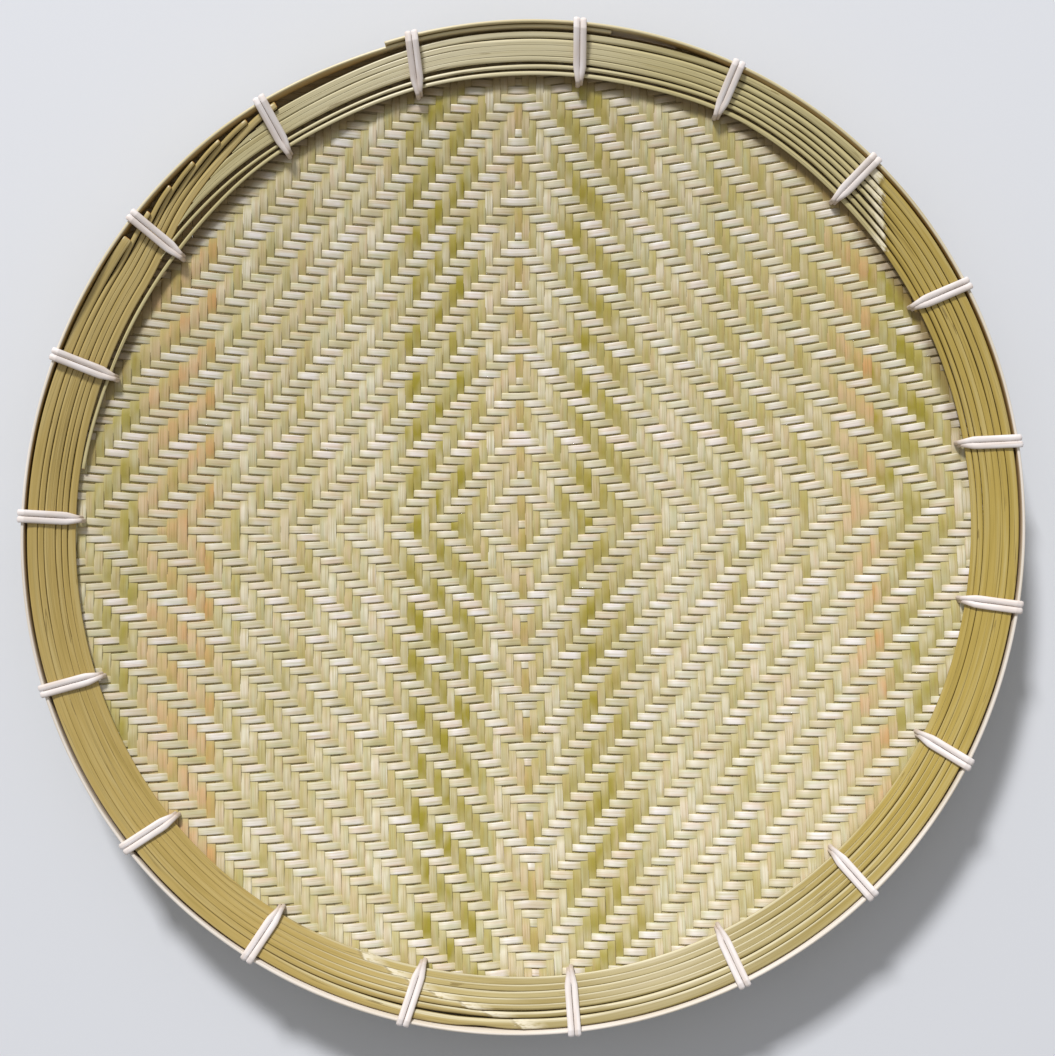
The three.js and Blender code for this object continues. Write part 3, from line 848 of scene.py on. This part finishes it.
def stripMaterial():
    # Bamboo split with its skin left on, dried from green to olive: a low waxy gloss across the
    # straight fibre lines, a pale swelling with a painted glint and a dark seam at each node, and tan
    # sawn ends. Fibre bundles are drawn at 0.4 mm, a little coarser than real, to show.
    material, tree, shader = startMaterial("bamboo skin, dried olive")
    dullAndShaded, isCut, underShadeShare = readLayer(tree, "tint")
    pastFirst, pastSecond, bloomAndHighlight = readLayer(tree, "past")  # mm past each node, and the bloom with the inner edges' painted highlight
    fibres = fibreNoise(tree, 62.5, 0.4167)
    patches = fibreNoise(tree, 45.45, 2)
    flecks = fibreNoise(tree, 3.333, 0.7692, detail=2.0)
    cracks = fibreNoise(tree, 125, 1.818, detail=1.0)
    isCrack = addNode(tree, "ShaderNodeMath", {0: cracks, 1: 0.5, 2: 0.008}, operation="COMPARE").outputs[0]
    colour = paintOver(
        tree, strips["firstStem"],
        (strips["secondStem"], (pastFirst, -0.3, 0.5, 0, 1)),
        (strips["thirdStem"], (pastSecond, -0.3, 0.5, 0, 1)),
        # painted shade: the skin on the near side is painted darker
        (strips["paintedDullShade"], (dullAndShaded, 0, 1, 0, 0.8)),
        # pale bloom, and the painted highlight on the inner edges
        (strips["paleBloomAndHighlight"], bloomAndHighlight),
        (strips["bloom"], (patches, 0.48, 0.75, 0, 0.45)),
        (strips["shade"], (patches, 0.46, 0.28, 0, 0.45)),
        (strips["fibre"], (fibres, 0.52, 0.72, 0, 0.35)),
        (strips["seam"], isCrack, (patches, 0.44, 0.56, 0, 0.65)))
    ragged = addNode(tree, "ShaderNodeMapRange", {0: flecks, 1: 0.3, 2: 0.7, 3: -2.2, 4: 2.2}).outputs[0]
    # painted highlight: past each node a cream glint is painted on the swelling; just before it, a dark seam
    for past, strength in ((pastFirst, 0.85), (pastSecond, 0.9)):
        edge = addNode(tree, "ShaderNodeMath", {0: past, 1: ragged}, operation="ADD").outputs[0]
        colour = paintOver(
            tree, colour,
            (strips["paintedNodeGlint"], (past, 11, 3, 0, strength), (edge, -0.7, 0.9, 0, 1),
             (flecks, 0.3, 0.5, 0.15, 1)),
            (strips["seam"], (past, -1.6, -0.5, 0, 1), (past, 0.6, 0, 0, 0.35)))
    # tan cut ends; painted shade, dark brown under each strip and fading up its sides
    colour = paintOver(tree, colour, (strips["cutEnd"], isCut), (strips["underside"], underShadeShare))
    finishMaterial(tree, shader, colour, (patches, 0.3, 0.7, 0.34, 0.46), (fibres, 0.3, 0.1))
    shine = addNode(tree, "ShaderNodeMapRange", {0: dullAndShaded, 1: 0, 2: 1, 3: 0.5, 4: 0.24})
    tree.links.new(shine.outputs[0], shader.inputs["Specular IOR Level"])
    bambooSheen(tree, shader, outwardFromMiddle(tree))
    return material


def sideSection(edge, inward, half, thick, split, paintedLight):
    # one side of a strip's section from the foot up: across, up, and how much painted under-shade shows.
    # Where the strips hold together their shared face stays flat almost to the split, and the flat runs
    # further where the inner edge is painted as a highlight.
    turn = min(blendOf(*strips["roundings"], split), half * strips["mostOfHalf"])
    flat = min(blendOf(*strips["flats"], split) + paintedLight, (half - turn) * strips["mostOfHalf"])
    easeIn, easeUp = strips["footEase"]
    corner = strips["roundCorner"] * turn
    return [
        (edge + inward * easeIn, easeUp, 1), (edge, strips["sideFoot"], 1),
        (edge, thick - turn, strips["sideUnderShade"]), (edge + inward * corner, thick - corner, 0),
        (edge + inward * turn, thick, 0), (edge + inward * (turn + flat), thick, 0)]


def makeStrip(strip, material):
    bm = bmesh.new()
    run, tint, past = newLayers(bm, "run", "tint", "past")
    start, end = stripStarts[strip], stripEnds[strip]
    tip = end + (strips["tailTip"] if strip else 0)
    crossings = []  # angle at which the outer and the inner side pass each node
    stripStep, numberStep = strips["jitterSeed"]
    for number, (outer, inner) in enumerate(zip(knotAngles(strip + 1), knotAngles(strip))):
        moved = waver(strips["nodeJitter"], strip * stripStep + number * numberStep)
        crossings.append((outer + moved, inner + moved))
    steps = math.ceil((tip - start) / strips["turnStep"])
    angles = {start + (tip - start) * step / steps for step in range(steps + 1)}
    angles |= {start + strips["endEase"], tip - strips["endEase"]}
    before, beyond = strips["nodeReach"]
    for crossing in crossings:
        low, high = min(crossing) - before, max(crossing) + beyond
        angles |= {blendOf(low, high, step / strips["nodeSteps"]) for step in range(strips["nodeSteps"] + 1)}
    angles = sorted(angles)

    def place(vert, step, side):
        angle = angles[step]
        along = alongRim(angle)
        inSplit, outSplit = splitAt(strip - 1, angle), splitAt(strip, angle)
        outerSide = (strips["gap"] * outSplit - tray["seatGap"]) / 2 - edgeShift(strip + 1, angle)
        innerSide = (tray["seatGap"] - strips["gap"] * inSplit) / 2 - edgeShift(strip, angle)
        innerSide += stripWidth(strip, angle)
        if strip == strips["count"] - 1:
            outerSide -= blendAlong(hoopPress, angle)
        if angle > end:
            # the end of the tail is cut aslant to lie along the strips that start here
            outerSide = blendOf(outerSide, innerSide - strips["tipWidth"], (angle - end) / (tip - end))
        middle = (outerSide + innerSide) / 2
        half = innerSide - middle
        # each strip is thicker than the next one in, in a step where they are split and evenly
        # where they aren't
        crown = strips["crown"] * blendAlong(crownShares, angle) / (strips["count"] - 1)
        inThick = strips["thickness"] + crown * (strip - 0.5 * (1 - min(inSplit, 1)))
        outThick = strips["thickness"] + crown * (strip + 0.5 * (1 - min(outSplit, 1)))
        middleThick = (inThick + outThick) / 2
        edgeHighlight = blendAlong(edgeHighlightShares, angle)
        inner = sideSection(innerSide, -1, half, inThick, inSplit, strips["edgeHighlightFlat"] * edgeHighlight)
        outer = sideSection(outerSide, 1, half, outThick, outSplit, 0)
        across, up, under = [(middle, 0, 1), *inner, (middle, middleThick, 0), *reversed(outer)][side]
        isEnd = step in (0, len(angles) - 1)
        if isEnd:
            acrossShare, upShare = strips["endShares"]
            across = blendOf(across, middle, acrossShare)
            up = blendOf(up, middleThick / 2, upShare)
        radius, height = stripSpot(strip, angle, across, up)
        share = blendOf(0.5, evenly(across, outerSide, innerSide), strips["nodeSlant"])
        gone = [alongRim(angle - blendOf(outer, inner, share)) for outer, inner in crossings]
        if under < 1:
            toKnot = min(gone, key=abs)
            rise = smooth(toKnot, *strips["nodeRiseSpan"]) * math.exp(-max(toKnot, 0) / strips["nodeFade"])
            height += strips["nodeRise"] * rise + waver(strips["topWaver"], along)
            height += (inSplit + outSplit) / 2 * waver(strips["ownTopWaver"], along, strip)
        vert.co = polar(radius, angle, height)
        vert[run] = (along, across + up * strips["sideRun"], strip + 1)
        # tint: how far the gloss is dulled and the skin painted darker as shade, the cut end, and the
        # painted under-shade
        vert[tint] = (blendAlong(dullAndShadeShares, angle), 1.0 if isEnd else 0.0, under)
        bloom = blendAlong(bloomShares, angle)
        if side in (4, 5):  # the rounding of the inner edge, painted cream as a highlight where it faces the lamp
            bloom = max(bloom, edgeHighlight)
        vert[past] = (*gone, bloom)

    bentRod(bm, len(angles) - 1, strips["sectionPoints"], place)
    finishPiece(bm, f"olive_strip_{strip + 1}", material, [f"rim_strip_{strip + 1}"])


def makeStrips():
    material = stripMaterial()
    for strip in range(strips["count"]):
        makeStrip(strip, material)
    print("strips laid round the rim")


ties = {
    "halfWidth": 1.30,
    "halfThickness": 0.70,
    "halfWidthAtHole": 0.95,
    "widthWaver": (0.05, 60, 12),
    "endSize": 0.7,  # of a cut end, of the section
    "reachIn": (0.4, 1.3),  # how much further in than the solids' each strand goes down
    "spacing": 2.70,
    "spacingAtHole": 1.10,
    "pinchReach": 5.5,  # from the hole to where the strands are at their full width
    "touch": 0.08,
    "holeRoom": 0.45,  # between the innermost strip and the strand in the hole
    "belowRoom": 0.2,
    "holeBend": (0.3, 0.25),  # the bend into the hole, of the strand's reach
    "holeTop": 0.6,  # how far below the strips' corner the straight part ends
    "holeShares": (0.35, 0.7),
    "cornerSteps": (5, 3, 5, 5),  # at the strips, inside and outside the hoop's top, and its foot
    "startTuck": (7.8, 1.2),  # how far in and up the tucked ends go
    "endTuck": (7.0, 4.6),
    "sides": 12,
    "longestStep": 2.2,
    "grainSteps": (170, 3),  # mm through the grain from tie to tie, and half round a cane
    "holeShade": (3.5, -0.5),  # from where to where towards the hole it is painted darker as shade
    "angles": (103.1, 83.2, 65.0, 46.3, 29.3, 10.6, -9.1, -27.6, -46.2, -64.0,
               -84.1, -103.6, -122.6, -141.1, -161.1, 178.6, 159.6, 141.4, 121.8),
    # sideways place of each tie at the hoop and at its hole, mm counter-clockwise
    "leans": ((-1.0, 1.4), (1.7, -0.9), (0.7, -0.1), (0.6, 0.8), (-1.3, 1.2), (-1.9, 1.4), (0.3, -0.3),
              (-1.0, 0.5), (-0.8, 0.0), (-0.6, -0.2), (-0.5, 0.2), (-0.5, 1.6), (-0.6, -0.2), (-0.7, 1.7),
              (-0.8, 0.7), (-0.2, 0.5), (0.0, 0.4), (-0.2, 0.3), (-0.6, 0.7)),
    "pale": "#F1EAE9",
    "warm": "#E3D6CE",
    "line": "#C4B2A6",
    "holeShadeTone": "#A98F72",
}


def caneMaterial():
    # Peeled rattan, round and dry: pinkish cream, faint lengthwise lines, almost no gloss. The
    # lines are drawn at 0.7 mm, coarser than real, to show.
    material, tree, shader = startMaterial("peeled rattan cane")
    holeShade = readLayer(tree, "tint")[0]
    fibres = fibreNoise(tree, 20, 0.6667)
    patches = fibreNoise(tree, 16.67, 10, detail=2.0)
    colour = paintOver(
        tree, ties["pale"],
        (ties["warm"], (patches, 0.35, 0.7, 0, 1)),
        (ties["line"], (fibres, 0.5, 0.75, 0, 0.45)),
        # painted shade: darker where the cane goes down into its hole
        (ties["holeShadeTone"], (holeShade, 0, 1, 0, 0.55)))
    finishMaterial(tree, shader, colour, (fibres, 0.3, 0.7, 0.5, 0.62), (fibres, 0.3, 0.08))
    return material


def arc(radius, height, reach, start, end, steps):
    turns = [blendOf(start, end, step / steps) for step in range(steps + 1)]
    return [(radius + reach * math.cos(turn), height + reach * math.sin(turn)) for turn in turns]


def tieTurn(angle):
    # centre of the cane, once round the rim's section
    outside = outline(angle)
    inside = insideHoop(angle) + tray["seatGap"]
    cornerRadius, cornerHeight = innermostCorner(angle)
    reach = ties["halfThickness"] + ties["touch"]
    hole = cornerRadius - reach - ties["holeRoom"]
    below = floorUnder(outside - hole) - reach - ties["belowRoom"]
    rise = math.atan2(hoopTop - cornerHeight, inside - cornerRadius)
    up = math.pi / 2
    bendIn, bendUp = ties["holeBend"]
    atStrips, atInside, atOutside, atFoot = ties["cornerSteps"]
    points = [(hole + reach, below), (hole + bendIn * reach, below + bendUp * reach), (hole, below + reach)]
    straightTop = cornerHeight - ties["holeTop"]
    points += [(hole, blendOf(below + reach, straightTop, share)) for share in ties["holeShares"]]
    points += arc(cornerRadius, cornerHeight, reach, math.pi, up + rise, atStrips)
    points += arc(inside, hoopTop, reach, up + rise, up, atInside)
    points += arc(outside, hoopTop, reach, up, 0, atOutside)
    points += arc(outside, hoopFoot, reach, 0, -up, atFoot)
    points += [(inside, hoopFoot - reach)]
    return points, hole


def makeTie(number, angle, lean, material):
    turn, hole = tieTurn(angle)
    (first, firstHeight), (last, lastHeight) = turn[0], turn[-1]
    tuckIn, tuckUp = ties["startTuck"]
    corners = [(hole + tuckIn, firstHeight + tuckUp, -1)]
    corners += [(radius, height, side) for side in (-1, 1) for radius, height in turn]
    tuckIn, tuckUp = ties["endTuck"]
    corners += [(last - tuckIn, lastHeight + tuckUp, 1)]
    path = [corners[0]]
    for corner in corners[1:]:
        before = path[-1]
        parts = max(1, math.ceil(math.dist(before, corner) / ties["longestStep"]))
        path += [tuple(blendOf(before[axis], corner[axis], part / parts) for axis in range(3))
                 for part in range(1, parts + 1)]
    nearness = [smooth(radius, hole, hole + ties["pinchReach"]) for radius, height, side in path]
    centres = []
    for (radius, height, side), near in zip(path, nearness):
        spacing = blendOf(ties["spacingAtHole"], ties["spacing"], near)
        sideways = blendOf(lean[1], lean[0], evenly(radius, hole, outline(angle)))
        radius -= ties["reachIn"][0 if side < 0 else 1] * (1 - near)
        centres.append(Vector((radius, side * spacing / 2 + sideways, height)))
    bm = bmesh.new()
    run, tint = newLayers(bm, "run", "tint")
    lengths = [0.0]
    for before, after in zip(centres, centres[1:]):
        lengths.append(lengths[-1] + (after - before).length)

    def place(vert, step, side):
        ahead = (centres[min(step + 1, len(centres) - 1)] - centres[max(step - 1, 0)]).normalized()
        outward = ahead.cross(Vector((0, 1, 0))).normalized()
        across = outward.cross(ahead).normalized()
        size = ties["endSize"] if step in (0, len(centres) - 1) else 1
        halfWidth = blendOf(ties["halfWidthAtHole"], ties["halfWidth"], nearness[step]) * size
        halfWidth *= 1 + waver(ties["widthWaver"], lengths[step], number)
        around = 2 * math.pi * (side + 0.5) / ties["sides"]
        spot = centres[step] + outward * (ties["halfThickness"] * size * math.cos(around))
        spot += across * (halfWidth * math.sin(around))
        vert.co = polar(spot.x, angle, spot.z) + polar(spot.y, angle + 90, 0)
        grainAlong, grainRound = ties["grainSteps"]
        vert[run] = (lengths[step] + number * grainAlong, grainRound * math.cos(around / 2), number)
        vert[tint] = (smooth(path[step][0] - hole, *ties["holeShade"]), 0, 0)

    bentRod(bm, len(centres) - 1, ties["sides"], place)
    finishPiece(bm, f"cane_tie_{number:02d}", material, [f"rattan_tie_{number:02d}"])


def makeTies():
    material = caneMaterial()
    for number, (angle, lean) in enumerate(zip(ties["angles"], ties["leans"]), 1):
        makeTie(number, angle, lean, material)
    print("ties wound")


studio = {
    "floorColour": "#DCDEE4",
    "floorRoughness": 0.9,
    "floorReach": 6,  # metres to each side
    "floorHeight": -0.3,  # mm, clear of the lowest splints
    "world": 0.35,
    "keyPower": 505.0,  # watts, of one soft lamp beyond the far side
    "keySize": (1.2, 0.88),  # metres, as its place and the camera's below
    "keyPlace": (-1.68, 5.20, 4.64),
    "cameraPlace": (0.00146, 0.0003, 0.7138),  # it looks straight down
    "focal": 58.77,
    "sensor": 36,
    "nearest": 0.01,  # metres from the camera at which it starts to see
}


def makeStage():
    material, tree, shader = startMaterial("plain pale floor")
    shader.inputs["Base Color"].default_value = linear(studio["floorColour"])
    shader.inputs["Roughness"].default_value = studio["floorRoughness"]
    bm = bmesh.new()
    bmesh.ops.create_grid(bm, x_segments=1, y_segments=1, size=studio["floorReach"])
    floor = addMesh(bm, "studio_floor", material)
    floor.location.z = studio["floorHeight"] * metresPerMm
    world = bpy.data.worlds.new("studio")
    world.use_nodes = True
    background = world.node_tree.nodes["Background"]
    background.inputs["Color"].default_value = (1, 1, 1, 1)
    background.inputs["Strength"].default_value = studio["world"]
    scene.world = world


def makeLamp():
    light = bpy.data.lights.new("key", "AREA")
    light.energy = studio["keyPower"]
    light.shape = "RECTANGLE"
    light.size, light.size_y = studio["keySize"]
    lamp = addObject("key", light)
    lamp.location = studio["keyPlace"]
    lamp.rotation_euler = (-Vector(studio["keyPlace"])).to_track_quat("-Z", "Y").to_euler()


def makeCamera():
    lens = bpy.data.cameras.new("camera")
    lens.lens = studio["focal"]
    lens.sensor_width = studio["sensor"]
    lens.clip_start = studio["nearest"]
    scene.camera = addObject("camera", lens)
    scene.camera.location = studio["cameraPlace"]
    scene.view_settings.view_transform = "Standard"


makeWeave()
makeHoop()
makeStrips()
makeTies()
makeStage()
makeLamp()
makeCamera()
print("studio ready")
